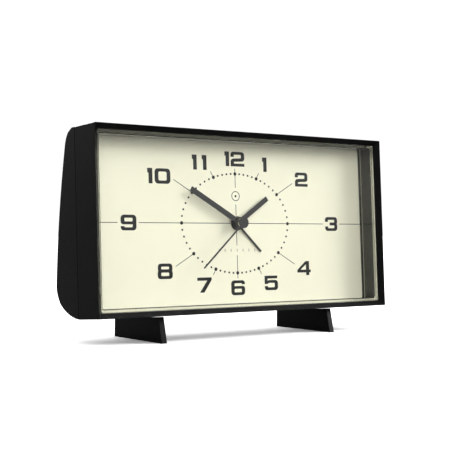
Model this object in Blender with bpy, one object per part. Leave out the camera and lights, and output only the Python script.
"""Mantel alarm clock: a wide plastic case on two plate feet, with a clear tray lens and a quartz movement.

The case is built in its own upright space, "case space", whose origin is the centre of the case's front
plane: x to the right, y into the clock, z up. The empty called case_space then leans it back and lifts it
onto its feet. All sizes are in metres; MM turns millimetres into metres.
"""
import math

import bmesh
import bpy
from mathutils import Matrix, Vector

MM = 0.001
DEGREE = math.pi / 180.0

# ---- case -----------------------------------------------------------------------------------------------
CASE_WIDTH = 200.0 * MM          # across the front edge
CASE_HEIGHT = 102.6 * MM         # over the front edge
CASE_LEAN = 2.9 * DEGREE         # the case leans back by this much
CENTRE_HEIGHT = 66.2 * MM        # centre of the front plane over the table
FRAME_DRAFT = 1.0 * DEGREE       # the outside widens towards the seam
BEZEL_WIDTH = 2.9 * MM
BEZEL_DEPTH = 2.7 * MM
EDGE_ROUND = 0.6 * MM            # outer corner radius of the front frame
OPENING_ROUND = 1.2 * MM         # corner radius of the window
GAP = 0.3 * MM                   # clearance between neighbouring pieces

# ---- lens, dial and carrier -----------------------------------------------------------------------------
LENS_FRONT = 3.0 * MM            # depth of the lens's outer face behind the front plane
LENS_PLATE = 2.2 * MM
LENS_WALL = 1.8 * MM
LENS_FLANGE = 1.3 * MM           # how far the flange stands out around the lens
FLANGE_THICKNESS = 1.5 * MM
DIAL_DEPTH = 17.4 * MM           # depth of the printed face
DIAL_THICKNESS = 0.8 * MM
CARRIER_THICKNESS = 1.8 * MM
CARRIER_POST_RADIUS = 3.0 * MM
CARRIER_POST_LENGTH = 4.7 * MM
CARRIER_HOLE_RADIUS = 8.0 * MM   # clears the movement's pipes and their bearing

# ---- rear shell -----------------------------------------------------------------------------------------
SHELL_WALL = 2.6 * MM
SHELL_DRAFT = 1.0 * DEGREE       # the flat sides draw in towards the back
SHELL_EDGE_ROUND = 0.5 * MM
TONGUE_WALL = 1.4 * MM
TONGUE_OVERLAP = 1.6 * MM        # how far the tongue runs back along the shell's wall
TONGUE_GRIP = 1.6 * MM           # how far the tongue reaches into the front frame
TOP_TANGENT = 6.8 * MM           # length of the rounded top corner along the top
BACK_TOP_BEHIND = 11.9 * MM      # the back starts this far behind the seam ...
BACK_TOP_DROP = 8.3 * MM         # ... and this far below the case's top
BACK_BOTTOM_BEHIND = 26.75 * MM  # the back ends this far behind the seam ...
BACK_BOTTOM_RISE = 17.0 * MM     # ... and this far above the case's bottom
BACK_BULGE = 3.85 * MM           # rearward pull on the middle of the back
BELLY_SLOPE = 7.0 * DEGREE       # the underside rises from the seam at this angle
BAY_WALL = 1.6 * MM
BAY_CLEARANCE = 0.8 * MM         # around the movement
BAY_LENGTH_INSIDE = 4.6 * MM     # how far the bay's wall overlaps the movement

# ---- fasteners ------------------------------------------------------------------------------------------
CASE_SCREW_INSET_X = 12.0 * MM   # from the case's side to a case screw
CASE_SCREW_INSET_Z = 13.5 * MM   # from the case's top or bottom to a case screw
CASE_SCREW_RADIUS = 1.25 * MM
CASE_SCREW_HEAD = 2.6 * MM
BOSS_WALL = 1.4 * MM
SEAT_THICKNESS = 2.0 * MM
HEAD_HEIGHT = 1.8 * MM
FOOT_SCREW_RADIUS = 0.8 * MM
FOOT_SCREW_HEAD = 2.2 * MM
FOOT_SCREWS_BEHIND = (4.5 * MM, 13.5 * MM)   # behind the seam
FOOT_SCREW_GRIP = 9.0 * MM       # how far a foot screw reaches into the foot
FOOT_PAD_RISE = 8.6 * MM         # height of a screw pad above the case's bottom
PILOT_SPARE = 1.0 * MM           # free depth beyond a screw's tip

# ---- feet -----------------------------------------------------------------------------------------------
FOOT_THICKNESS = 3.2 * MM
FOOT_SPREAD = 121.0 * MM         # over the outer faces of the two feet
FOOT_FRONT = 0.1 * MM            # on the table, measured back from the front plane's centre
FOOT_REAR_BEHIND = 30.3 * MM     # on the table, measured back from the seam
FOOT_RAKE = 13.0 * DEGREE        # slant of the front edge
FOOT_TAIL_BEHIND = 21.5 * MM     # from the seam to where the top edge leaves the shell's underside

# ---- movement housing -----------------------------------------------------------------------------------
HOUSING_WIDTH = 60.0 * MM
HOUSING_TOP = 22.0 * MM          # above the hand axis
HOUSING_BOTTOM = -34.0 * MM
HOUSING_THICKNESS = 18.0 * MM
HOUSING_SPLIT = 9.4 * MM         # depth of the front half
HOUSING_WALL = 1.2 * MM
HOUSING_ROUND = 2.0 * MM
EAR_LENGTH = 6.4 * MM
EAR_HEIGHT = 8.0 * MM
EAR_THICKNESS = 1.4 * MM
EAR_LIFT = 2.8 * MM              # from the housing's front face to the ears
PARTITION_WALL = 1.0 * MM

# ---- battery --------------------------------------------------------------------------------------------
BATTERY_RADIUS = 7.1 * MM
BATTERY_LENGTH = 49.2 * MM       # without the button
BATTERY_BUTTON = 1.3 * MM
BATTERY_BUTTON_RADIUS = 2.75 * MM
BATTERY_CLEARANCE = 0.5 * MM
CONTACT_THICKNESS = 0.4 * MM
SPRING_WIRE = 0.4 * MM           # wire radius of the battery spring
SPRING_TURNS = 3.5

# ---- arbors: each pipe runs round the one inside it --------------------------------------------------------
ROD_RADIUS = 0.5 * MM
PIPE_WALL = 0.5 * MM
PIVOT_RADIUS = 0.35 * MM
SHAFT_RADIUS = 0.9 * MM          # time and alarm setting shafts
MINUTE_BORE = ROD_RADIUS + GAP
MINUTE_PIPE_RADIUS = MINUTE_BORE + PIPE_WALL
HOUR_BORE = MINUTE_PIPE_RADIUS + GAP
HOUR_PIPE_RADIUS = HOUR_BORE + PIPE_WALL
ALARM_BORE = HOUR_PIPE_RADIUS + GAP
ALARM_PIPE_RADIUS = ALARM_BORE + PIPE_WALL
DIAL_HOLE_RADIUS = ALARM_PIPE_RADIUS + GAP

# ---- gears ----------------------------------------------------------------------------------------------
WHEEL = 1.0 * MM                 # thickness of a wheel
SLACK = 0.1 * MM                 # a pinion is this much longer than its wheel, each end
ROTOR_LEAVES = 6
INTERMEDIATE_TEETH = 36
INTERMEDIATE_LEAVES = 8
SECOND_TEETH = 40
SECOND_LEAVES = 6
THIRD_TEETH = 45
THIRD_LEAVES = 6
CENTRE_TEETH = 48
CANNON_LEAVES = 10
MINUTE_TEETH = 30
MINUTE_LEAVES = 8
HOUR_TEETH = 32
ALARM_TEETH = 24
ALARM_LEAVES = 12
ROTOR_DISTANCE = 8.4 * MM        # rotor to intermediate wheel
INTERMEDIATE_DISTANCE = 9.0 * MM  # the rest are measured from the hand axis
THIRD_DISTANCE = 9.0 * MM
MINUTE_DISTANCE = 10.0 * MM
ALARM_DISTANCE = 12.15 * MM
INTERMEDIATE_ANGLE = 20.0 * DEGREE   # directions seen from the front, from +x towards +z
THIRD_ANGLE = 120.0 * DEGREE
MINUTE_ANGLE = -45.0 * DEGREE
ALARM_ANGLE = 215.0 * DEGREE

# ---- hands: time shown is ten to two --------------------------------------------------------------------
HAND_THICKNESS = 0.4 * MM


def hand_sizes(direction, length, width, boss, lift):
    """Degrees clockwise from twelve, then millimetres; the lift is from the dial's face to the blade's front."""
    return {"direction": direction * DEGREE, "length": length * MM, "width": width * MM, "boss": boss * MM,
            "depth": DIAL_DEPTH - lift * MM}


HOUR_HAND = hand_sizes(55.5, 26.1, 3.0, 3.7, 2.0)
MINUTE_HAND = hand_sizes(300.0, 38.4, 3.2, 3.4, 4.0)
SECOND_HAND = hand_sizes(227.4, 38.3, 0.9, 3.25, 7.7)
ALARM_HAND = hand_sizes(134.7, 23.6, 1.2, 4.1, 0.9)
BOSS_RISE = 1.0 * MM             # how far a hand's boss stands in front of its blade
ALARM_BOSS_RISE = 0.35 * MM
COLLET_RADIUS = 2.9 * MM

# ---- knobs, switch and cover ----------------------------------------------------------------------------
KNOB_RADIUS = 5.5 * MM
KNOB_HEIGHT = 5.2 * MM
KNOB_RIBS = 24
KNOB_LIP = 0.8 * MM              # rounding of a knob's end
SWITCH_WIDTH = 3.0 * MM
SWITCH_HEIGHT = 2.4 * MM
SWITCH_TRAVEL = 4.0 * MM
SWITCH_CENTRE = (-16.0 * MM, 14.5 * MM)
SWITCH_LENGTH = 2.2 * MM         # how far the lever stands out
SWITCH_PLATE_THICKNESS = 0.9 * MM
SWITCH_PLATE_MARGIN = (2.6 * MM, 1.0 * MM)   # the inner plate is larger than the lever by this, each way
COVER_THICKNESS = 1.0 * MM
COVER_RIBS = 5
COVER_RIB_PITCH = 1.6 * MM
COVER_RIB = (12.0 * MM, 0.7 * MM)            # length and width of a grip rib
COVER_RIB_RISE = 0.5 * MM

# ---- movement: plates, motor and electronics --------------------------------------------------------------
PLATE = 0.8 * MM                 # thickness of the centre plate and the bridge
CENTRE_PLATE_HALF = (18.5 * MM, 17.0 * MM)
CENTRE_PLATE_CENTRE = (2.0 * MM, 1.0 * MM)
BRIDGE_HALF = (18.0 * MM, 14.5 * MM)
BRIDGE_CENTRE = (3.5 * MM, 2.5 * MM)
PLATE_ROUND = 3.0 * MM
POST_RADIUS = 1.5 * MM
PEG_RADIUS = 0.8 * MM
FRONT_POSTS = ((-13.0 * MM, 8.0 * MM), (13.0 * MM, 10.0 * MM), (-1.5 * MM, -14.5 * MM))
BOARD_POSTS = ((-25.0 * MM, -9.0 * MM), (-25.0 * MM, 16.0 * MM))
BRIDGE_POSTS = ((-11.5 * MM, -1.0 * MM), (8.5 * MM, 14.5 * MM), (13.5 * MM, -8.5 * MM))
ROTOR_MAGNET_RADIUS = 2.2 * MM
ROTOR_AIR = 0.4 * MM             # between the magnet and the stator
STATOR_HALF_WIDTH = 3.4 * MM     # of the part round the rotor
STATOR_HALF_HEIGHT = 9.5 * MM
STATOR_ARM = 3.0 * MM
COIL_X = 25.2 * MM
CORE_HALF = 1.1 * MM
COIL_HALF = (2.5 * MM, 2.3 * MM)
BOARD_THICKNESS = 1.0 * MM
BOARD_RIGHT = -14.6 * MM
BOARD_LOW = -13.0 * MM
BOARD_HIGH = 19.5 * MM
CHIP_AT = (-20.0 * MM, -3.0 * MM)
CHIP_DOME = ((0.0, 0.0), (2.6, 0.0), (2.3, 0.7), (1.4, 1.2), (0.0, 1.4))   # radius and height in millimetres
QUARTZ_AT = (-17.5 * MM, 9.0 * MM)
QUARTZ_RADIUS = 1.0 * MM
QUARTZ_LENGTH = 6.0 * MM
CONTACT_LEAF = 0.25 * MM
CONTACT_LEFT = -22.0 * MM
CONTACT_SHORT = 2.0 * MM         # the leaf ends this far from the hour pipe
CONTACT_HEIGHTS = (2.0 * MM, 4.4 * MM)
BUZZER_RADIUS = 8.5 * MM
BUZZER_DROP = 5.0 * MM           # from the switch down to the buzzer's centre
SOUND_HOLES = 5
SOUND_HOLE_RADIUS = 0.6 * MM
SOUND_RING = 2.6 * MM
SOUND_DROP = 9.0 * MM            # from the switch down to the ring of sound holes
CELL_BEVEL = 0.6 * MM
CONTACT_HALF = 5.2 * MM          # half size of a battery contact
SPRING_RADII = (3.6 * MM, 2.2 * MM)

# ---- how finely round pieces are divided --------------------------------------------------------------------
SCREW_SIDES = 12
PIPE_SIDES = 20
HAND_BOSS_SIDES = 40

# ---- worked out from the values above ---------------------------------------------------------------------
HALF_WIDTH = CASE_WIDTH / 2
HALF_HEIGHT = CASE_HEIGHT / 2
CARRIER_FRONT = DIAL_DEPTH + DIAL_THICKNESS + GAP
CARRIER_REAR = CARRIER_FRONT + CARRIER_THICKNESS
FRAME_DEPTH = CARRIER_REAR + GAP + TONGUE_GRIP
SHELL_FRONT = FRAME_DEPTH + GAP                # the seam
SEAM_GROWTH = FRAME_DEPTH * math.tan(FRAME_DRAFT)
SEAM_HALF_WIDTH = HALF_WIDTH + SEAM_GROWTH
SEAM_HALF_HEIGHT = HALF_HEIGHT + SEAM_GROWTH
WINDOW = (HALF_WIDTH - BEZEL_WIDTH, HALF_HEIGHT - BEZEL_WIDTH)
LENS_OUTSIDE = (WINDOW[0] - GAP, WINDOW[1] - GAP)
LENS_INSIDE = (LENS_OUTSIDE[0] - LENS_WALL, LENS_OUTSIDE[1] - LENS_WALL)
INSERT = (LENS_OUTSIDE[0] + LENS_FLANGE, LENS_OUTSIDE[1] + LENS_FLANGE)   # flange, dial, carrier, tongue
POCKET = (INSERT[0] + GAP, INSERT[1] + GAP)
FLANGE_REAR = DIAL_DEPTH - GAP
FLANGE_FRONT = FLANGE_REAR - FLANGE_THICKNESS
POST_END = CARRIER_REAR + CARRIER_POST_LENGTH
BOSS_FRONT = POST_END + GAP
SEAT_REAR = BOSS_FRONT + SEAT_THICKNESS
PILOT_RADIUS = CASE_SCREW_RADIUS + GAP
CASE_SCREW_AT = (HALF_WIDTH - CASE_SCREW_INSET_X, HALF_HEIGHT - CASE_SCREW_INSET_Z)
FOOT_CENTRE_X = (FOOT_SPREAD - FOOT_THICKNESS) / 2
FOOT_REAR = SHELL_FRONT + FOOT_REAR_BEHIND
FOOT_TAIL_DEPTH = SHELL_FRONT + FOOT_TAIL_BEHIND
FOOT_PAD_TOP = -SEAM_HALF_HEIGHT + FOOT_PAD_RISE

HOUSING_FRONT = CARRIER_REAR + GAP
HOUSING_REAR = HOUSING_FRONT + HOUSING_THICKNESS
FLOOR = HOUSING_FRONT + HOUSING_WALL          # inner face of the front half
CEILING = HOUSING_REAR - HOUSING_WALL         # inner face of the rear half
SPLIT = HOUSING_FRONT + HOUSING_SPLIT
HOUSING_HALF = HOUSING_WIDTH / 2
HOUSING_CENTRE_Z = (HOUSING_TOP + HOUSING_BOTTOM) / 2
BAY_HALF_WIDTH = HOUSING_HALF + BAY_CLEARANCE
BAY_TOP = HOUSING_TOP + BAY_CLEARANCE
BAY_BOTTOM = HOUSING_BOTTOM - BAY_CLEARANCE
BATTERY_Z = HOUSING_BOTTOM + HOUSING_WALL + BATTERY_CLEARANCE + BATTERY_RADIUS
BATTERY_Y = (FLOOR + CEILING) / 2
PARTITION_Z = BATTERY_Z + BATTERY_RADIUS + BATTERY_CLEARANCE
MOVEMENT_SCREW_X = HOUSING_HALF + EAR_LENGTH / 2 + GAP
EAR_FRONT = HOUSING_FRONT + EAR_LIFT

# Layers of the movement, front to back.
ALARM_LAYER = FLOOR + GAP
HOUR_LAYER = ALARM_LAYER + WHEEL + GAP
MINUTE_LAYER = HOUR_LAYER + WHEEL + 2 * GAP
CENTRE_PLATE_FRONT = MINUTE_LAYER + WHEEL + 2 * GAP
CENTRE_PLATE_REAR = CENTRE_PLATE_FRONT + PLATE
CENTRE_LAYER = CENTRE_PLATE_REAR + GAP
THIRD_LAYER = CENTRE_LAYER + WHEEL + GAP
SECOND_LAYER = THIRD_LAYER + WHEEL + GAP
INTERMEDIATE_LAYER = SECOND_LAYER + WHEEL + GAP
BRIDGE_FRONT = INTERMEDIATE_LAYER + WHEEL + 2 * GAP
BRIDGE_REAR = BRIDGE_FRONT + PLATE
BOARD_FRONT = SECOND_LAYER
BOARD_REAR = BOARD_FRONT + BOARD_THICKNESS
KNOB_FRONT = HOUSING_REAR + GAP
KNOB_SHAFT_END = KNOB_FRONT + KNOB_HEIGHT * 0.6

HAND_AXIS = (0.0, 0.0)


def around(centre, distance, angle):
    """Point at a distance and direction from a centre, in the plane of the dial."""
    return (centre[0] + distance * math.cos(angle), centre[1] + distance * math.sin(angle))


INTERMEDIATE_AXIS = around(HAND_AXIS, INTERMEDIATE_DISTANCE, INTERMEDIATE_ANGLE)
ROTOR_AXIS = around(INTERMEDIATE_AXIS, ROTOR_DISTANCE, INTERMEDIATE_ANGLE)
THIRD_AXIS = around(HAND_AXIS, THIRD_DISTANCE, THIRD_ANGLE)
MINUTE_AXIS = around(HAND_AXIS, MINUTE_DISTANCE, MINUTE_ANGLE)
ALARM_AXIS = around(HAND_AXIS, ALARM_DISTANCE, ALARM_ANGLE)


# ---- scene, materials and objects ---------------------------------------------------------------------------
for old in list(bpy.data.objects):
    bpy.data.objects.remove(old, do_unlink=True)


def table_to_case(y, z):
    """A point of the side view, level with the table, in leaning case space; both from the front's centre."""
    cos, sin = math.cos(CASE_LEAN), math.sin(CASE_LEAN)
    return (y * cos - z * sin, y * sin + z * cos)


FOREMOST = -HALF_HEIGHT * math.sin(CASE_LEAN)        # the front frame's lower edge leans out furthest
case_space = bpy.data.objects.new("case_space", None)
bpy.context.collection.objects.link(case_space)
case_space.location = (0.0, -(FOREMOST + FOOT_REAR) / 2, CENTRE_HEIGHT)
case_space.rotation_euler = (-CASE_LEAN, 0.0, 0.0)


def material(name, colour, roughness, metallic=0.0):
    """A plain Principled material."""
    made = bpy.data.materials.new(name)
    made.use_nodes = True
    shader = made.node_tree.nodes["Principled BSDF"]
    shader.inputs["Base Color"].default_value = (*colour, 1.0)
    shader.inputs["Roughness"].default_value = roughness
    shader.inputs["Metallic"].default_value = metallic
    made.diffuse_color = (*colour, 1.0)
    return made


CASE_BLACK = material("case_black", (0.012, 0.013, 0.013), 0.4)
CLEAR = material("clear_acrylic", (0.9, 0.92, 0.88), 0.05)
CREAM = material("dial_cream", (0.9, 0.88, 0.72), 0.6)
INNER_BLACK = material("inner_black_plastic", (0.02, 0.02, 0.02), 0.5)
HAND_BLACK = material("hand_black_paint", (0.02, 0.02, 0.022), 0.35)
NICKEL = material("nickel", (0.7, 0.68, 0.64), 0.25, 1.0)
STEEL = material("zinc_steel", (0.55, 0.55, 0.54), 0.35, 1.0)
ACETAL = material("white_acetal", (0.85, 0.85, 0.82), 0.4)
BRASS = material("brass", (0.72, 0.52, 0.22), 0.3, 1.0)
COPPER = material("copper_wire", (0.72, 0.32, 0.16), 0.35, 1.0)
BOARD_GREEN = material("board_green", (0.04, 0.2, 0.08), 0.5)
BATTERY_JACKET = material("battery_jacket", (0.05, 0.1, 0.2), 0.3)
MAGNET = material("magnet_grey", (0.12, 0.12, 0.13), 0.4, 0.6)


def add(name, mesh, finish, at=(0.0, 0.0, 0.0), turn=0.0, sharp=35.0 * DEGREE):
    """Put a bmesh into the scene as a named object in case space, turned about the depth axis."""
    bmesh.ops.recalc_face_normals(mesh, faces=mesh.faces)
    data = bpy.data.meshes.new(name)
    mesh.to_mesh(data)
    mesh.free()
    data.shade_smooth()
    data.set_sharp_from_angle(angle=sharp)
    data.materials.append(finish)
    made = bpy.data.objects.new(name, data)
    bpy.context.collection.objects.link(made)
    made.parent = case_space
    made.location = at
    made.rotation_euler = (0.0, turn, 0.0)
    return made


def shape(target, tool, operation="DIFFERENCE"):
    """Cut a bmesh out of an object, or join it on, with a live Boolean modifier and a hidden tool object."""
    count = len(target.modifiers) + 1
    helper = add(f"{target.name}_tool_{count}", tool, target.data.materials[0])
    helper.location = target.location
    helper.rotation_euler = target.rotation_euler
    helper.hide_render = True
    helper.display_type = "WIRE"
    change = target.modifiers.new(f"{operation.lower()}_{count}", "BOOLEAN")
    change.operation = operation
    change.solver = "EXACT"
    change.object = helper
    return helper


# ---- outlines -------------------------------------------------------------------------------------------
def circle(radius, steps=24, centre=(0.0, 0.0)):
    """Points round a circle."""
    return [around(centre, radius, 2 * math.pi * step / steps) for step in range(steps)]


def box_outline(left, right, low, high):
    """Four corners of a rectangle."""
    return [(left, low), (right, low), (right, high), (left, high)]


def rounded_box(half, radius, steps=4, centre=(0.0, 0.0)):
    """A rectangle with round corners, given by its half sizes."""
    points = []
    for quarter, (sx, sz) in enumerate(((1, 1), (-1, 1), (-1, -1), (1, -1))):
        corner = (centre[0] + sx * (half[0] - radius), centre[1] + sz * (half[1] - radius))
        for step in range(steps + 1):
            points.append(around(corner, radius, (quarter + step / steps) * math.pi / 2))
    return points


def gear_outline(teeth, module, phase=0.0):
    """Straight-sided teeth with rolling room; a tooth is centred on the phase angle."""
    pitch = 2 * math.pi / teeth
    root = module * (teeth / 2 - 1.1)
    tip = module * (teeth / 2 + 0.8)
    points = []
    for tooth in range(teeth):
        angle = phase + tooth * pitch
        for radius, side in ((root, -0.29), (tip, -0.11), (tip, 0.11), (root, 0.29)):
            points.append(around(HAND_AXIS, radius, angle + side * pitch))
    return points


def module_of(distance, teeth, leaves):
    """Tooth size that lets two gears meet at a centre distance."""
    return 2 * distance / (teeth + leaves)


def meshed_phase(phase, direction, teeth, other_teeth):
    """Phase that puts the other gear's gap at a tooth, when it lies in a direction from this one."""
    return direction + math.pi - (phase - direction) * teeth / other_teeth - math.pi / other_teeth


# ---- solids ---------------------------------------------------------------------------------------------
def plate(outline, front, rear, holes=(), axis="y"):
    """A flat plate: an outline with holes, given thickness along an axis."""
    mesh = bmesh.new()
    order = {"x": (2, 0, 1), "y": (0, 2, 1), "z": (0, 1, 2)}[axis]
    for loop in (outline, *holes):
        points = [mesh.verts.new([(a, b, front)[index] for index in order]) for a, b in loop]
        for first, second in zip(points, points[1:] + points[:1]):
            mesh.edges.new((first, second))
    bmesh.ops.triangle_fill(mesh, use_beauty=True, edges=mesh.edges[:])
    raised = bmesh.ops.extrude_face_region(mesh, geom=mesh.faces[:])
    moved = [item for item in raised["geom"] if isinstance(item, bmesh.types.BMVert)]
    shift = {"x": (1, 0, 0), "y": (0, 1, 0), "z": (0, 0, 1)}[axis]
    bmesh.ops.translate(mesh, vec=Vector(shift) * (rear - front), verts=moved)
    return mesh


def skin(sections, ring=False):
    """Join equal closed loops in order; a ring joins last to first, otherwise the ends are capped."""
    mesh = bmesh.new()
    loops = [[mesh.verts.new(point) for point in section] for section in sections]
    pairs = list(zip(loops, loops[1:]))
    if ring:
        pairs.append((loops[-1], loops[0]))
    else:
        mesh.faces.new(loops[0])
        mesh.faces.new(loops[-1])
    for near, far in pairs:
        for index in range(len(near)):
            after = (index + 1) % len(near)
            mesh.faces.new((near[index], near[after], far[after], far[index]))
    return mesh


def frame_loop(half, radius, depth):
    """A round-cornered rectangular loop across the case at a depth."""
    return [(x, depth, z) for x, z in rounded_box(half, radius)]


def turned(profile, steps=24, centre=(0.0, 0.0), axis="y"):
    """A body of revolution from (radius, height) points."""
    mesh = bmesh.new()
    points = [mesh.verts.new((radius, height, 0.0)) for radius, height in profile]
    edges = [mesh.edges.new(pair) for pair in zip(points, points[1:] + points[:1])]
    bmesh.ops.spin(mesh, geom=points + edges, cent=(0, 0, 0), axis=(0, 1, 0), angle=2 * math.pi, steps=steps,
                   use_merge=True)
    bmesh.ops.remove_doubles(mesh, verts=mesh.verts, dist=0.001 * MM)
    bmesh.ops.dissolve_degenerate(mesh, dist=0.001 * MM, edges=mesh.edges)
    if axis == "x":
        mesh.transform(Matrix.Rotation(-math.pi / 2, 4, "Z"))
    elif axis == "z":
        mesh.transform(Matrix.Rotation(math.pi / 2, 4, "X"))
    else:
        mesh.transform(Matrix.Translation((centre[0], 0.0, centre[1])))
    return mesh


def rod(radius, front, rear, steps=16, centre=(0.0, 0.0)):
    """A plain round bar along the depth axis."""
    return turned([(0.0, front), (radius, front), (radius, rear), (0.0, rear)], steps, centre)


def pipe(bore, radius, front, rear, steps=24):
    """A plain round tube along the depth axis."""
    return turned([(bore, front), (radius, front), (radius, rear), (bore, rear)], steps)


def together(*parts):
    """One bmesh that holds several separate solids."""
    whole = bmesh.new()
    for part in parts:
        data = bpy.data.meshes.new("part")
        part.to_mesh(data)
        part.free()
        whole.from_mesh(data)
        bpy.data.meshes.remove(data)
    return whole


# ---- case -----------------------------------------------------------------------------------------------
def make_front_frame():
    """Ring moulding: drafted outside, bezel, straight window wall, and a pocket that the insert fills."""
    front_half = (HALF_WIDTH, HALF_HEIGHT)
    seam_half = (SEAM_HALF_WIDTH, SEAM_HALF_HEIGHT)
    shoulder = FLANGE_FRONT - GAP
    sections = [
        frame_loop(front_half, EDGE_ROUND, 0.0),
        frame_loop(seam_half, EDGE_ROUND, FRAME_DEPTH),
        frame_loop(POCKET, OPENING_ROUND, FRAME_DEPTH),
        frame_loop(POCKET, OPENING_ROUND, shoulder),
        frame_loop(WINDOW, OPENING_ROUND, shoulder),
        frame_loop(WINDOW, OPENING_ROUND, BEZEL_DEPTH),
    ]
    add("front_frame", skin(sections, ring=True), CASE_BLACK)


def make_lens():
    """Clear tray: front plate, side walls and a flange that the dial holds against the frame's shoulder."""
    inner_face = LENS_FRONT + LENS_PLATE
    sections = [
        frame_loop(LENS_OUTSIDE, OPENING_ROUND, LENS_FRONT),
        frame_loop(LENS_OUTSIDE, OPENING_ROUND, FLANGE_FRONT),
        frame_loop(INSERT, OPENING_ROUND, FLANGE_FRONT),
        frame_loop(INSERT, OPENING_ROUND, FLANGE_REAR),
        frame_loop(LENS_INSIDE, OPENING_ROUND, FLANGE_REAR),
        frame_loop(LENS_INSIDE, OPENING_ROUND, inner_face),
    ]
    add("lens", skin(sections), CLEAR)


def corners(x, z):
    """The four mirrored positions of a point."""
    return [(sx * x, sz * z) for sz in (1, -1) for sx in (-1, 1)]


def make_dial_and_carrier():
    """The printed dial, and the plate behind it with four screw posts and two movement bosses."""
    hole = circle(DIAL_HOLE_RADIUS)
    outline = rounded_box(INSERT, OPENING_ROUND)
    add("dial", plate(outline, DIAL_DEPTH, DIAL_DEPTH + DIAL_THICKNESS, [hole]), CREAM)
    hole = circle(CARRIER_HOLE_RADIUS, 32)
    carrier = add("dial_carrier", plate(outline, CARRIER_FRONT, CARRIER_REAR, [hole]), INNER_BLACK)
    root = CARRIER_REAR - CARRIER_THICKNESS / 2
    posts = [rod(CARRIER_POST_RADIUS, root, POST_END, 12, at) for at in corners(*CASE_SCREW_AT)]
    boss_end = EAR_FRONT - GAP
    ears = [(side * MOVEMENT_SCREW_X, HOUSING_CENTRE_Z) for side in (-1, 1)]
    bosses = [rod(CARRIER_POST_RADIUS, root, boss_end, 12, at) for at in ears]
    shape(carrier, together(*posts, *bosses), "UNION")
    pilots = [rod(PILOT_RADIUS, CARRIER_REAR, POST_END + GAP, 8, at) for at in corners(*CASE_SCREW_AT)]
    pilots += [rod(PILOT_RADIUS, CARRIER_REAR, boss_end + GAP, 8, at) for at in ears]
    shape(carrier, together(*pilots))


def blend(corner, toward_first, toward_second, steps):
    """A quarter-ellipse corner that leaves along one vector and arrives along the other."""
    points = []
    for step in range(steps + 1):
        turn = step / steps * math.pi / 2
        points.append(corner + toward_first * (1 - math.sin(turn)) + toward_second * (1 - math.cos(turn)))
    return points


def shell_profile():
    """Side view of the rear shell from the seam's top, round the back, to the seam's bottom, as (y, z)."""
    seam_top = Vector((SHELL_FRONT, SEAM_HALF_HEIGHT))
    seam_bottom = Vector((SHELL_FRONT, -SEAM_HALF_HEIGHT))
    back_top = Vector((SHELL_FRONT + BACK_TOP_BEHIND, SEAM_HALF_HEIGHT - BACK_TOP_DROP))
    back_bottom = Vector((SHELL_FRONT + BACK_BOTTOM_BEHIND, -SEAM_HALF_HEIGHT + BACK_BOTTOM_RISE))
    pull = (back_top + back_bottom) / 2 + Vector((BACK_BULGE, 0.0))
    rise = (back_top - pull) / (back_top - pull).y
    top_corner = back_top + rise * BACK_TOP_DROP
    fall = (back_bottom - pull) / (pull - back_bottom).y
    belly = math.tan(BELLY_SLOPE)
    reach = (BACK_BOTTOM_RISE - belly * BACK_BOTTOM_BEHIND) / (1 + belly * fall.x)
    bottom_corner = back_bottom + fall * reach
    points = [seam_top]
    points += blend(top_corner, Vector((-TOP_TANGENT, 0.0)), back_top - top_corner, 7)
    back_steps = 8
    for step in range(1, back_steps):
        part = step / back_steps
        points.append(back_top * (1 - part) ** 2 + pull * 2 * part * (1 - part) + back_bottom * part ** 2)
    points += blend(bottom_corner, back_bottom - bottom_corner, seam_bottom - bottom_corner, 11)
    return points


def moved_in(points, distance):
    """An open outline moved inwards by a distance; its ends move straight along the seam."""
    inner = []
    for index, point in enumerate(points):
        before = points[max(index - 1, 0)]
        after = points[min(index + 1, len(points) - 1)]
        along = (after - before).normalized()
        inner.append(point + Vector((along.y, -along.x)) * distance)
    return inner


def shell_solid(points, half_width, front):
    """A solid with flat drafted sides across an open side-view outline, closed straight at the front."""
    side = [Vector((front, points[0].y)), *points[1:-1], Vector((front, points[-1].y))]
    sections = []
    for sign in (-1, 1):
        section = []
        for point in side:
            reach = half_width - (point.x - SHELL_FRONT) * math.tan(SHELL_DRAFT)
            section.append((sign * reach, point.x, point.y))
        sections.append(section)
    return skin(sections)


def round_side_edges(mesh, front):
    """Round the long edges between the shell's flat sides and its wrap-round back."""
    rims = []
    for edge in mesh.edges:
        first, second = (vert.co for vert in edge.verts)
        same_side = first.x * second.x > 0
        on_seam = abs(first.y - front) < GAP / 2 and abs(second.y - front) < GAP / 2
        if same_side and not on_seam:
            rims.append(edge)
    bmesh.ops.bevel(mesh, geom=rims, offset=SHELL_EDGE_ROUND, segments=2, profile=0.5, affect="EDGES",
                    clamp_overlap=True)
    return mesh


def foot_screw_places():
    """Where the foot screws stand, as (x, y)."""
    return [(side * FOOT_CENTRE_X, SHELL_FRONT + behind) for side in (-1, 1) for behind in FOOT_SCREWS_BEHIND]


def upright_rod(radius, bottom, top, place, steps=16):
    """A round bar along the height axis at (x, y)."""
    mesh = turned([(0.0, bottom), (radius, bottom), (radius, top), (0.0, top)], steps, axis="z")
    mesh.transform(Matrix.Translation((place[0], place[1], 0.0)))
    return mesh


def block(low, high):
    """A box between two corners."""
    return plate(box_outline(low[0], high[0], low[2], high[2]), low[1], high[1])


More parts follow.
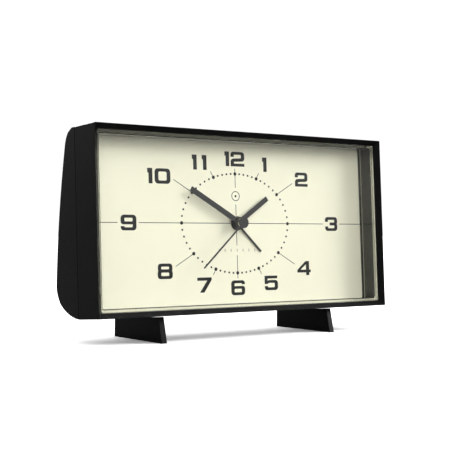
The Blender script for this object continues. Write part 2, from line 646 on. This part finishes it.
def make_rear_shell():
    """Hollow rear moulding with a tongue, screw bosses, foot pads and an open bay for the movement."""
    outline = shell_profile()
    outer = round_side_edges(shell_solid(outline, SEAM_HALF_WIDTH, SHELL_FRONT), SHELL_FRONT)
    shell = add("rear_shell", outer, CASE_BLACK)
    beyond = FOOT_REAR + SHELL_WALL
    boss_radius = CASE_SCREW_HEAD + GAP + BOSS_WALL
    before_seam = SHELL_FRONT - SHELL_WALL
    hollow_shape = shell_solid(moved_in(outline, SHELL_WALL), SEAM_HALF_WIDTH - SHELL_WALL, before_seam)
    hollow = shape(shell, hollow_shape)
    kept = [rod(boss_radius, BOSS_FRONT, beyond, 14, at) for at in corners(*CASE_SCREW_AT)]
    pad_radius = FOOT_SCREW_HEAD + GAP + BOSS_WALL
    lowest = -SEAM_HALF_HEIGHT - SHELL_WALL
    kept += [upright_rod(pad_radius, lowest, FOOT_PAD_TOP, at, 12) for at in foot_screw_places()]
    bay_front = HOUSING_REAR - BAY_LENGTH_INSIDE
    wall = BAY_WALL
    kept.append(block((-BAY_HALF_WIDTH - wall, bay_front, BAY_BOTTOM - wall),
                      (BAY_HALF_WIDTH + wall, beyond, BAY_TOP + wall)))
    shape(hollow, together(*kept))
    tongue_front = CARRIER_REAR + GAP
    tongue_rear = SHELL_FRONT + TONGUE_OVERLAP
    tongue_inside = (INSERT[0] - TONGUE_WALL, INSERT[1] - TONGUE_WALL)
    tongue = skin([
        frame_loop(INSERT, OPENING_ROUND, tongue_front),
        frame_loop(INSERT, OPENING_ROUND, tongue_rear),
        frame_loop(tongue_inside, OPENING_ROUND, tongue_rear),
        frame_loop(tongue_inside, OPENING_ROUND, tongue_front),
    ], ring=True)
    shape(shell, tongue, "UNION")
    cuts = [block((-BAY_HALF_WIDTH, tongue_rear, BAY_BOTTOM), (BAY_HALF_WIDTH, beyond, BAY_TOP))]
    for at in corners(*CASE_SCREW_AT):
        profile = [(0.0, BOSS_FRONT - GAP), (PILOT_RADIUS, BOSS_FRONT - GAP), (PILOT_RADIUS, SEAT_REAR),
                   (CASE_SCREW_HEAD + GAP, SEAT_REAR), (CASE_SCREW_HEAD + GAP, beyond), (0.0, beyond)]
        cuts.append(turned(profile, 14, at))
    for at in foot_screw_places():
        cuts.append(upright_rod(FOOT_SCREW_RADIUS + GAP, lowest, FOOT_PAD_TOP + GAP, at, 8))
    shape(shell, together(*cuts))


def cross_slot(radius, face, depth, at, axis="y"):
    """Cross-shaped recess for a screw head, as one twelve-sided plate."""
    arm, half = radius * 0.7, radius * 0.14
    outline = [(half, half), (half, arm), (-half, arm), (-half, half), (-arm, half), (-arm, -half),
               (-half, -half), (-half, -arm), (half, -arm), (half, -half), (arm, -half), (arm, half)]
    outline = [(a + at[0], b + at[1]) for a, b in outline]
    return plate(outline, face - depth, face + GAP, axis=axis)


def make_screw(name, radius, head, tip, seat, at, axis="y"):
    """A pan-head screw whose head lies on the far side of its seat; its point is at the tip."""
    top = seat + HEAD_HEIGHT
    edge = 0.3 * head
    profile = [(0.0, tip), (radius, tip + radius), (radius, seat), (head, seat), (head, top - edge),
               (head - edge, top), (0.0, top)]
    if axis == "y":
        mesh = turned(profile, SCREW_SIDES, at)
    else:
        mesh = turned(profile, SCREW_SIDES, axis="z")
        mesh.transform(Matrix.Translation((at[0], at[1], 0.0)))
    screw = add(name, mesh, STEEL)
    shape(screw, cross_slot(head, top, HEAD_HEIGHT * 0.55, at, axis))


def make_fasteners():
    """Case screws from the back, movement screws at the ears, and foot screws from inside."""
    for number, at in enumerate(corners(*CASE_SCREW_AT), 1):
        make_screw(f"case_screw_{number}", CASE_SCREW_RADIUS, CASE_SCREW_HEAD,
                   CARRIER_REAR + PILOT_SPARE, SEAT_REAR + GAP, at)
    ear_rear = EAR_FRONT + EAR_THICKNESS
    for number, side in enumerate((-1, 1), 1):
        at = (side * MOVEMENT_SCREW_X, HOUSING_CENTRE_Z)
        make_screw(f"movement_screw_{number}", CASE_SCREW_RADIUS, CASE_SCREW_HEAD,
                   CARRIER_REAR + GAP, ear_rear + GAP, at)
    for number, at in enumerate(foot_screw_places(), 1):
        make_screw(f"foot_screw_{number}", FOOT_SCREW_RADIUS, FOOT_SCREW_HEAD,
                   -SEAM_HALF_HEIGHT - FOOT_SCREW_GRIP, FOOT_PAD_TOP + GAP, at, "z")


def make_feet():
    """Two upright plates: raked front edge, level bottom, and a top edge that follows the case's underside."""
    belly = [point for point in shell_profile() if point.y < 0 and point.x <= FOOT_TAIL_DEPTH]
    belly.sort(key=lambda point: point.x)
    rake = math.tan(FOOT_RAKE)
    front_floor = table_to_case(FOOT_FRONT, -CENTRE_HEIGHT)
    rise = CENTRE_HEIGHT - HALF_HEIGHT
    front_top_y = table_to_case(FOOT_FRONT + rise * rake, -HALF_HEIGHT)[0]
    under_frame = -HALF_HEIGHT - front_top_y * math.tan(FRAME_DRAFT) - GAP
    rear_floor = table_to_case(FOOT_REAR, -CENTRE_HEIGHT)
    tail_height = belly[-1].y - GAP
    down = -CENTRE_HEIGHT - tail_height
    rear_top = (rear_floor[0] + down * math.sin(CASE_LEAN), tail_height)
    outline = [front_floor, (front_top_y, under_frame), (SHELL_FRONT, belly[0].y - 1.5 * GAP)]
    outline += [(point.x, point.y - 1.5 * GAP) for point in belly[1:]]
    outline += [rear_top, rear_floor]
    for name, side in (("foot_left", -1), ("foot_right", 1)):
        near = side * FOOT_CENTRE_X - FOOT_THICKNESS / 2
        foot = add(name, plate(outline, near, near + FOOT_THICKNESS, axis="x"), CASE_BLACK)
        bottom = -SEAM_HALF_HEIGHT - FOOT_SCREW_GRIP - PILOT_SPARE
        holes = [upright_rod(FOOT_SCREW_RADIUS + GAP, bottom, tail_height + SHELL_WALL, (x, y), 12)
                 for x, y in foot_screw_places() if x * side > 0]
        shape(foot, together(*holes))


# ---- movement -------------------------------------------------------------------------------------------
def stepped_post(at, start, shoulder, end):
    """A post with a thinner peg on its end."""
    profile = [(0.0, start), (POST_RADIUS, start), (POST_RADIUS, shoulder), (PEG_RADIUS, shoulder),
               (PEG_RADIUS, end), (0.0, end)]
    return turned(profile, 8, at)


def housing_outline(inset):
    """The movement housing's outline, moved in by an inset."""
    half = (HOUSING_HALF - inset, (HOUSING_TOP - HOUSING_BOTTOM) / 2 - inset)
    return rounded_box(half, HOUSING_ROUND - inset / 2, centre=(0.0, HOUSING_CENTRE_Z))


def cup(outer, inner, closed_at, floor_at, open_at):
    """A tray: outer wall, rim, inner wall and floor."""
    return skin([
        [(x, closed_at, z) for x, z in outer],
        [(x, open_at, z) for x, z in outer],
        [(x, open_at, z) for x, z in inner],
        [(x, floor_at, z) for x, z in inner],
    ])


def make_housing():
    """The movement's front half with ears and posts, and its rear half with the battery opening."""
    outer, inner = housing_outline(0.0), housing_outline(HOUSING_WALL)
    front = add("movement_front", cup(outer, inner, HOUSING_FRONT, FLOOR, SPLIT), INNER_BLACK)
    extras = []
    for side in (-1, 1):
        near, far = sorted((side * (HOUSING_HALF - HOUSING_WALL / 2), side * (HOUSING_HALF + EAR_LENGTH)))
        extras.append(block((near, EAR_FRONT, HOUSING_CENTRE_Z - EAR_HEIGHT / 2),
                            (far, EAR_FRONT + EAR_THICKNESS, HOUSING_CENTRE_Z + EAR_HEIGHT / 2)))
    start = FLOOR - HOUSING_WALL / 2
    peg_end = CENTRE_PLATE_REAR + GAP
    extras += [stepped_post(at, start, CENTRE_PLATE_FRONT - GAP, peg_end) for at in FRONT_POSTS]
    extras += [stepped_post(at, start, BOARD_FRONT - GAP, BOARD_REAR + GAP) for at in BOARD_POSTS]
    shape(front, together(*extras), "UNION")
    holes = [rod(DIAL_HOLE_RADIUS, HOUSING_FRONT - GAP, FLOOR + GAP, 24)]
    for axis in (MINUTE_AXIS, ALARM_AXIS):
        holes.append(rod(PIVOT_RADIUS + GAP, HOUSING_FRONT - GAP, FLOOR + GAP, 12, axis))
    for side in (-1, 1):
        at = (side * MOVEMENT_SCREW_X, HOUSING_CENTRE_Z)
        holes.append(rod(PILOT_RADIUS, EAR_FRONT - GAP, EAR_FRONT + EAR_THICKNESS + GAP, 12, at))
    shape(front, together(*holes))

    rear = add("movement_rear", cup(outer, inner, HOUSING_REAR, CEILING, SPLIT + GAP), INNER_BLACK)
    inside = HOUSING_HALF - HOUSING_WALL / 2
    partition = block((-inside, SPLIT + 2 * GAP, PARTITION_Z),
                      (inside, CEILING + HOUSING_WALL / 2, PARTITION_Z + PARTITION_WALL))
    shape(rear, partition, "UNION")
    half, low, high = cover_opening()
    cuts = [block((-half, CEILING - GAP, low), (half, HOUSING_REAR + GAP, high))]
    for axis in (MINUTE_AXIS, ALARM_AXIS):
        cuts.append(rod(SHAFT_RADIUS + GAP, CEILING - GAP, HOUSING_REAR + GAP, 16, axis))
    x, z = SWITCH_CENTRE
    left = x - SWITCH_WIDTH / 2 - SWITCH_TRAVEL / 2 - GAP
    right = x + SWITCH_WIDTH / 2 + SWITCH_TRAVEL / 2 + GAP
    tall = SWITCH_HEIGHT / 2 + GAP
    cuts.append(block((left, CEILING - GAP, z - tall), (right, HOUSING_REAR + GAP, z + tall)))
    for number in range(SOUND_HOLES):
        at = around((x, z - SOUND_DROP), SOUND_RING, 2 * math.pi * number / SOUND_HOLES)
        cuts.append(rod(SOUND_HOLE_RADIUS, CEILING - GAP, HOUSING_REAR + GAP, 8, at))
    shape(rear, together(*cuts))


def cover_opening():
    """Half width, bottom and top of the battery opening."""
    half = HOUSING_HALF - HOUSING_WALL - GAP
    low = HOUSING_BOTTOM + HOUSING_WALL + GAP
    return half, low, PARTITION_Z - GAP


def make_plates():
    """Centre plate in front of the going train and bridge behind it, with their pivot holes."""
    pivots = [circle(PIVOT_RADIUS + GAP, 12, at) for at in (THIRD_AXIS, INTERMEDIATE_AXIS, ROTOR_AXIS)]
    shafts = [circle(SHAFT_RADIUS + GAP, 12, at) for at in (MINUTE_AXIS, ALARM_AXIS)]
    front_pegs = [circle(PEG_RADIUS + GAP, 12, at) for at in FRONT_POSTS]
    bore = [circle(MINUTE_PIPE_RADIUS + GAP, 16)]
    outline = rounded_box(CENTRE_PLATE_HALF, PLATE_ROUND, centre=CENTRE_PLATE_CENTRE)
    mesh = plate(outline, CENTRE_PLATE_FRONT, CENTRE_PLATE_REAR, pivots + shafts + front_pegs + bore)
    centre_plate = add("centre_plate", mesh, ACETAL)
    start = (CENTRE_PLATE_FRONT + CENTRE_PLATE_REAR) / 2
    posts = [stepped_post(at, start, BRIDGE_FRONT - GAP, BRIDGE_REAR + GAP) for at in BRIDGE_POSTS]
    shape(centre_plate, together(*posts), "UNION")

    pegs = [circle(PEG_RADIUS + GAP, 12, at) for at in BRIDGE_POSTS]
    rear_pivot = [circle(PIVOT_RADIUS + GAP, 12)]
    outline = rounded_box(BRIDGE_HALF, PLATE_ROUND, centre=BRIDGE_CENTRE)
    add("train_bridge", plate(outline, BRIDGE_FRONT, BRIDGE_REAR, pivots + shafts + pegs + rear_pivot), ACETAL)


def wheel(name, axis, finish, teeth, module, phase, front, hub=None, bore=None):
    """A toothed wheel about its own axis; the hub is a solid of revolution joined on, the bore a hole."""
    holes = [circle(bore, 24)] if bore else []
    gear = add(name, plate(gear_outline(teeth, module, phase), front, front + WHEEL, holes), finish,
               (axis[0], 0.0, axis[1]))
    if hub:
        shape(gear, hub, "UNION")
    return gear


def pinion(leaves, module, phase, front):
    """A pinion that is a little longer than the wheel it meets."""
    return plate(gear_outline(leaves, module, phase), front - SLACK, front + WHEEL + SLACK)


def stepped_arbor(pivot_front, body_front, body_rear, pivot_rear, radius=ROD_RADIUS, pivot=PIVOT_RADIUS):
    """An arbor with a thin pivot at each end."""
    return turned([(0.0, pivot_front), (pivot, pivot_front), (pivot, body_front), (radius, body_front),
                   (radius, body_rear), (pivot, body_rear), (pivot, pivot_rear), (0.0, pivot_rear)], 12)


def make_going_train():
    """Rotor, intermediate wheel, second wheel, third wheel and centre wheel, in mesh."""
    rotor_module = module_of(ROTOR_DISTANCE, INTERMEDIATE_TEETH, ROTOR_LEAVES)
    second_module = module_of(INTERMEDIATE_DISTANCE, SECOND_TEETH, INTERMEDIATE_LEAVES)
    third_module = module_of(THIRD_DISTANCE, THIRD_TEETH, SECOND_LEAVES)
    centre_module = module_of(THIRD_DISTANCE, CENTRE_TEETH, THIRD_LEAVES)
    plate_pivot, rear_pivot = CENTRE_PLATE_FRONT, BRIDGE_REAR + GAP
    body_front, body_rear = CENTRE_PLATE_REAR + GAP, BRIDGE_FRONT - GAP

    second_wheel = wheel("second_wheel", HAND_AXIS, ACETAL, SECOND_TEETH, second_module, 0.0, SECOND_LAYER)
    front_end = SECOND_HAND["depth"] + GAP
    shape(second_wheel, stepped_arbor(front_end, front_end + GAP, body_rear, rear_pivot), "UNION")
    shape(second_wheel, pinion(SECOND_LEAVES, third_module, 0.0, THIRD_LAYER), "UNION")

    phase = meshed_phase(0.0, THIRD_ANGLE, SECOND_LEAVES, THIRD_TEETH)
    third_wheel = wheel("third_wheel", THIRD_AXIS, ACETAL, THIRD_TEETH, third_module, phase, THIRD_LAYER)
    shape(third_wheel, stepped_arbor(plate_pivot, body_front, body_rear, rear_pivot), "UNION")
    shape(third_wheel, pinion(THIRD_LEAVES, centre_module, 0.0, CENTRE_LAYER), "UNION")

    phase = meshed_phase(0.0, THIRD_ANGLE + math.pi, THIRD_LEAVES, CENTRE_TEETH)
    wheel("centre_wheel", HAND_AXIS, ACETAL, CENTRE_TEETH, centre_module, phase, CENTRE_LAYER,
          bore=MINUTE_PIPE_RADIUS + GAP)

    phase = meshed_phase(0.0, INTERMEDIATE_ANGLE, SECOND_TEETH, INTERMEDIATE_LEAVES)
    intermediate = wheel("intermediate_wheel", INTERMEDIATE_AXIS, ACETAL, INTERMEDIATE_TEETH, rotor_module, 0.0,
                         INTERMEDIATE_LAYER)
    shape(intermediate, stepped_arbor(plate_pivot, body_front, body_rear, rear_pivot), "UNION")
    shape(intermediate, pinion(INTERMEDIATE_LEAVES, second_module, phase, SECOND_LAYER), "UNION")

    phase = meshed_phase(0.0, INTERMEDIATE_ANGLE, INTERMEDIATE_TEETH, ROTOR_LEAVES)
    rotor = add("rotor", pinion(ROTOR_LEAVES, rotor_module, phase, INTERMEDIATE_LAYER), ACETAL,
                (ROTOR_AXIS[0], 0.0, ROTOR_AXIS[1]))
    shape(rotor, stepped_arbor(plate_pivot, body_front, body_rear, rear_pivot), "UNION")
    magnet = pipe(ROD_RADIUS + GAP, ROTOR_MAGNET_RADIUS, THIRD_LAYER, SECOND_LAYER + GAP, 16)
    add("rotor_magnet", magnet, MAGNET, (ROTOR_AXIS[0], 0.0, ROTOR_AXIS[1]))


def make_motion_work():
    """Cannon pinion with the minute pipe, minute wheel on the time shaft, and hour wheel with its pipe."""
    cannon_module = module_of(MINUTE_DISTANCE, MINUTE_TEETH, CANNON_LEAVES)
    hour_module = module_of(MINUTE_DISTANCE, HOUR_TEETH, MINUTE_LEAVES)
    front = MINUTE_HAND["depth"] - BOSS_RISE + GAP
    rear = CENTRE_LAYER + WHEEL + GAP / 2
    middle = (MINUTE_BORE + MINUTE_PIPE_RADIUS) / 2
    outline = gear_outline(CANNON_LEAVES, cannon_module)
    cannon = plate(outline, MINUTE_LAYER - SLACK, MINUTE_LAYER + WHEEL + SLACK, [circle(middle)])
    minute_pipe = add("minute_pipe", cannon, BRASS)
    shape(minute_pipe, pipe(MINUTE_BORE, MINUTE_PIPE_RADIUS, front, rear, PIPE_SIDES), "UNION")

    phase = meshed_phase(0.0, MINUTE_ANGLE, CANNON_LEAVES, MINUTE_TEETH)
    minute_wheel = wheel("minute_wheel", MINUTE_AXIS, ACETAL, MINUTE_TEETH, cannon_module, phase, MINUTE_LAYER)
    shaft = stepped_arbor(HOUSING_FRONT + GAP, HOUR_LAYER - GAP, KNOB_SHAFT_END, KNOB_SHAFT_END + GAP,
                          SHAFT_RADIUS)
    shape(minute_wheel, shaft, "UNION")
    shape(minute_wheel, pinion(MINUTE_LEAVES, hour_module, 0.0, HOUR_LAYER), "UNION")

    phase = meshed_phase(0.0, MINUTE_ANGLE + math.pi, MINUTE_LEAVES, HOUR_TEETH)
    middle = (HOUR_BORE + HOUR_PIPE_RADIUS) / 2
    hour_wheel = wheel("hour_wheel", HAND_AXIS, ACETAL, HOUR_TEETH, hour_module, phase, HOUR_LAYER, bore=middle)
    front = HOUR_HAND["depth"] - BOSS_RISE + GAP
    rear = HOUR_LAYER + WHEEL + GAP / 2
    shape(hour_wheel, pipe(HOUR_BORE, HOUR_PIPE_RADIUS, front, rear, PIPE_SIDES), "UNION")


def make_alarm_gears():
    """Alarm wheel with its pipe, and the alarm pinion on its setting shaft."""
    module = module_of(ALARM_DISTANCE, ALARM_TEETH, ALARM_LEAVES)
    middle = (ALARM_BORE + ALARM_PIPE_RADIUS) / 2
    alarm_wheel = wheel("alarm_wheel", HAND_AXIS, ACETAL, ALARM_TEETH, module, 0.0, ALARM_LAYER, bore=middle)
    front = ALARM_HAND["depth"] - ALARM_BOSS_RISE + GAP / 2
    rear = ALARM_LAYER + WHEEL + GAP / 2
    shape(alarm_wheel, pipe(ALARM_BORE, ALARM_PIPE_RADIUS, front, rear, PIPE_SIDES), "UNION")
    phase = meshed_phase(0.0, ALARM_ANGLE, ALARM_TEETH, ALARM_LEAVES)
    alarm_pinion = add("alarm_pinion", pinion(ALARM_LEAVES, module, phase, ALARM_LAYER), ACETAL,
                       (ALARM_AXIS[0], 0.0, ALARM_AXIS[1]))
    shaft = stepped_arbor(HOUSING_FRONT + GAP, ALARM_LAYER - GAP / 2, KNOB_SHAFT_END, KNOB_SHAFT_END + GAP,
                          SHAFT_RADIUS)
    shape(alarm_pinion, shaft, "UNION")


def make_knob(name, axis):
    """A ribbed setting knob with a blind hole for its shaft and a rounded end."""
    ribs = []
    for rib in range(2 * KNOB_RIBS):
        radius = KNOB_RADIUS if rib % 2 else KNOB_RADIUS - GAP
        ribs.append(around(HAND_AXIS, radius, math.pi * rib / KNOB_RIBS))
    rear = KNOB_FRONT + KNOB_HEIGHT
    sections = []
    for depth, scale in ((KNOB_FRONT, 1.0), (rear - KNOB_LIP, 1.0), (rear, 1 - KNOB_LIP / KNOB_RADIUS)):
        sections.append([(x * scale, depth, z * scale) for x, z in ribs])
    knob = add(name, skin(sections), INNER_BLACK, (axis[0], 0.0, axis[1]))
    shape(knob, rod(SHAFT_RADIUS + GAP, KNOB_FRONT - GAP, KNOB_SHAFT_END + 2 * GAP, 16))


def make_motor():
    """Stator with its rotor hole and arms, and the coil on its own core across the arms."""
    x, z = ROTOR_AXIS
    left, right = x - STATOR_HALF_WIDTH, x + STATOR_HALF_WIDTH
    reach = COIL_X + 1.5 * CORE_HALF
    low, high = z - STATOR_HALF_HEIGHT, z + STATOR_HALF_HEIGHT
    low_arm, high_arm = low + STATOR_ARM, high - STATOR_ARM
    outline = [(left, low), (reach, low), (reach, low_arm), (right, low_arm), (right, high_arm),
               (reach, high_arm), (reach, high), (left, high)]
    hole = circle(ROTOR_MAGNET_RADIUS + ROTOR_AIR, 20, ROTOR_AXIS)
    front = THIRD_LAYER + WHEEL / 2
    add("stator", plate(outline, front, front + WHEEL, [hole]), STEEL)
    core_front = front + WHEEL + GAP
    core = box_outline(COIL_X - CORE_HALF, COIL_X + CORE_HALF, low, high)
    add("coil_core", plate(core, core_front, core_front + WHEEL), STEEL)
    centre = (COIL_X, core_front + WHEEL / 2)
    bottom, top = low_arm + GAP, high_arm - GAP
    inner = rounded_box((CORE_HALF + GAP, WHEEL / 2 + GAP), GAP, 2, centre)
    outer = rounded_box(COIL_HALF, 3 * GAP, 2, centre)
    sections = [[(a, b, height) for a, b in loop]
                for loop, height in ((outer, bottom), (outer, top), (inner, top), (inner, bottom))]
    add("coil", skin(sections, ring=True), COPPER)


def make_circuit_board():
    """Circuit board with its chip under a dome and its quartz can."""
    pegs = [circle(PEG_RADIUS + GAP, 12, at) for at in BOARD_POSTS]
    outline = box_outline(-HOUSING_HALF + HOUSING_WALL + 2 * GAP, BOARD_RIGHT, BOARD_LOW, BOARD_HIGH)
    add("circuit_board", plate(outline, BOARD_FRONT, BOARD_REAR, pegs), BOARD_GREEN)
    chip = [(radius * MM, BOARD_REAR + GAP + height * MM) for radius, height in CHIP_DOME]
    add("chip", turned(chip, 16, CHIP_AT), INNER_BLACK)
    half = QUARTZ_LENGTH / 2
    can = turned([(0.0, -half), (QUARTZ_RADIUS, -half), (QUARTZ_RADIUS, half), (0.0, half)], 14, axis="z")
    can.transform(Matrix.Translation((QUARTZ_AT[0], BOARD_REAR + GAP + QUARTZ_RADIUS, QUARTZ_AT[1])))
    add("quartz_can", can, NICKEL)


def make_alarm_parts():
    """The spring leaf that feels the hour wheel, and the buzzer disc behind the bridge."""
    near = HOUR_LAYER + WHEEL + GAP
    far = near + CONTACT_LEAF
    end = -HOUR_PIPE_RADIUS - CONTACT_SHORT
    foot = CONTACT_LEFT + CONTACT_LEAF
    outline = [(CONTACT_LEFT, near), (end, near), (end, far), (foot, far), (foot, BOARD_FRONT - GAP),
               (CONTACT_LEFT, BOARD_FRONT - GAP)]
    add("alarm_contact", plate(outline, *CONTACT_HEIGHTS, axis="z"), NICKEL)
    at = (SWITCH_CENTRE[0], SWITCH_CENTRE[1] - BUZZER_DROP)
    add("buzzer", rod(BUZZER_RADIUS, BRIDGE_REAR + 3 * GAP, BRIDGE_REAR + 5 * GAP, 32, at), BRASS)


def make_battery():
    """The cell, its two contact plates and the spring that holds it against the positive one."""
    plus_face = HOUSING_HALF - HOUSING_WALL - GAP - CONTACT_THICKNESS
    tip = plus_face - GAP
    shoulder = tip - BATTERY_BUTTON
    tail = shoulder - BATTERY_LENGTH
    edge = CELL_BEVEL
    cell = turned([(0.0, tail), (BATTERY_RADIUS - edge, tail), (BATTERY_RADIUS, tail + edge),
                   (BATTERY_RADIUS, shoulder - edge), (BATTERY_RADIUS - edge, shoulder),
                   (BATTERY_BUTTON_RADIUS, shoulder), (BATTERY_BUTTON_RADIUS, tip), (0.0, tip)], 28, axis="x")
    cell.transform(Matrix.Translation((0.0, BATTERY_Y, BATTERY_Z)))
    add("battery", cell, BATTERY_JACKET)
    low, high = BATTERY_Z - CONTACT_HALF, BATTERY_Z + CONTACT_HALF
    front, rear = BATTERY_Y - CONTACT_HALF, BATTERY_Y + CONTACT_HALF
    far = plus_face + CONTACT_THICKNESS
    add("contact_plus", block((plus_face, front, low), (far, rear, high)), NICKEL)
    add("contact_minus", block((-far, front, low), (-plus_face, rear, high)), NICKEL)
    make_battery_spring(-plus_face + GAP + SPRING_WIRE, tail - GAP - SPRING_WIRE)


def make_battery_spring(start, end):
    """A conical wire spring, swept along its helix."""
    steps_per_turn, sides = 12, 5
    total = round(SPRING_TURNS * steps_per_turn)
    wide, narrow = SPRING_RADII
    path = []
    for step in range(total + 1):
        part = step / total
        angle = 2 * math.pi * SPRING_TURNS * part
        radius = wide + (narrow - wide) * part
        path.append(Vector((start + (end - start) * part, radius * math.cos(angle), radius * math.sin(angle))))
    sections = []
    for index, point in enumerate(path):
        before, after = path[max(index - 1, 0)], path[min(index + 1, total)]
        along = (after - before).normalized()
        side = along.cross(Vector((1.0, 0.0, 0.0))).normalized()
        up = side.cross(along)
        ring = [side * math.cos(2 * math.pi * n / sides) + up * math.sin(2 * math.pi * n / sides)
                for n in range(sides)]
        sections.append([point + direction * SPRING_WIRE for direction in ring])
    spring = skin(sections)
    spring.transform(Matrix.Translation((0.0, BATTERY_Y, BATTERY_Z)))
    add("battery_spring", spring, STEEL)


def make_battery_cover():
    """Lift-off cover in the housing's battery opening, with a moulded finger grip."""
    half, low, high = cover_opening()
    front = HOUSING_REAR - COVER_THICKNESS
    body = block((-half + GAP, front, low + GAP), (half - GAP, HOUSING_REAR, high - GAP))
    cover = add("battery_cover", body, INNER_BLACK)
    middle = (low + high) / 2
    ribs = []
    reach, half_rib = COVER_RIB[0] / 2, COVER_RIB[1] / 2
    for number in range(COVER_RIBS):
        z = middle + (number - (COVER_RIBS - 1) / 2) * COVER_RIB_PITCH
        ribs.append(block((-reach, HOUSING_REAR - COVER_THICKNESS / 2, z - half_rib),
                          (reach, HOUSING_REAR + COVER_RIB_RISE, z + half_rib)))
    shape(cover, together(*ribs), "UNION")


def make_switch():
    """Alarm on-off slider: a lever through the housing's slot on a plate inside it."""
    x = SWITCH_CENTRE[0] - SWITCH_TRAVEL / 2
    z = SWITCH_CENTRE[1]
    half, tall = SWITCH_WIDTH / 2, SWITCH_HEIGHT / 2
    plate_rear = CEILING - GAP
    plate_front = plate_rear - SWITCH_PLATE_THICKNESS
    wide, high = SWITCH_PLATE_MARGIN
    body = block((x - wide - half, plate_front, z - tall - high),
                 (x + wide + half, plate_rear, z + tall + high))
    switch = add("alarm_switch", body, ACETAL)
    lever = block((x - half, plate_rear - GAP, z - tall), (x + half, HOUSING_REAR + SWITCH_LENGTH, z + tall))
    shape(switch, lever, "UNION")


# ---- hands ----------------------------------------------------------------------------------------------
def make_hand(name, hand, bore, rise):
    """A square-ended baton that points up before it is turned, on a round boss that stands towards the lens."""
    half = hand["width"] / 2
    root = ((bore or 0.0) + hand["boss"]) / 2
    front, rear = hand["depth"], hand["depth"] + HAND_THICKNESS
    blade = plate([(-half, root), (half, root), (half, hand["length"]), (-half, hand["length"])], front, rear)
    made = add(name, blade, HAND_BLACK, turn=hand["direction"])
    if bore:
        boss = pipe(bore, hand["boss"], front - rise, rear + GAP / 3, HAND_BOSS_SIDES)
    else:
        boss = rod(hand["boss"], front - rise, rear + GAP / 3, HAND_BOSS_SIDES)
    shape(made, boss, "UNION")
    return made


def make_hands():
    """The four hands, and the metal collet that carries the second hand."""
    make_hand("alarm_hand", ALARM_HAND, ALARM_PIPE_RADIUS + GAP, ALARM_BOSS_RISE)
    make_hand("hour_hand", HOUR_HAND, HOUR_PIPE_RADIUS + GAP, BOSS_RISE)
    make_hand("minute_hand", MINUTE_HAND, MINUTE_PIPE_RADIUS + GAP, BOSS_RISE)
    second = make_hand("second_hand", SECOND_HAND, None, GAP / 2)
    face_rear = SECOND_HAND["depth"] + HAND_THICKNESS + GAP / 3
    shape(second, rod(ROD_RADIUS + GAP, SECOND_HAND["depth"], face_rear + GAP, 16))
    collet_front = face_rear + GAP
    collet_rear = MINUTE_HAND["depth"] - BOSS_RISE - GAP
    collet = pipe(ROD_RADIUS + GAP, COLLET_RADIUS, collet_front, collet_rear, HAND_BOSS_SIDES)
    add("second_collet", collet, NICKEL)


make_front_frame()
make_lens()
make_dial_and_carrier()
make_rear_shell()
make_feet()
make_fasteners()
make_housing()
make_plates()
make_going_train()
make_motion_work()
make_alarm_gears()
make_knob("time_knob", MINUTE_AXIS)
make_knob("alarm_knob", ALARM_AXIS)
make_motor()
make_circuit_board()
make_alarm_parts()
make_battery()
make_battery_cover()
make_switch()
make_hands()
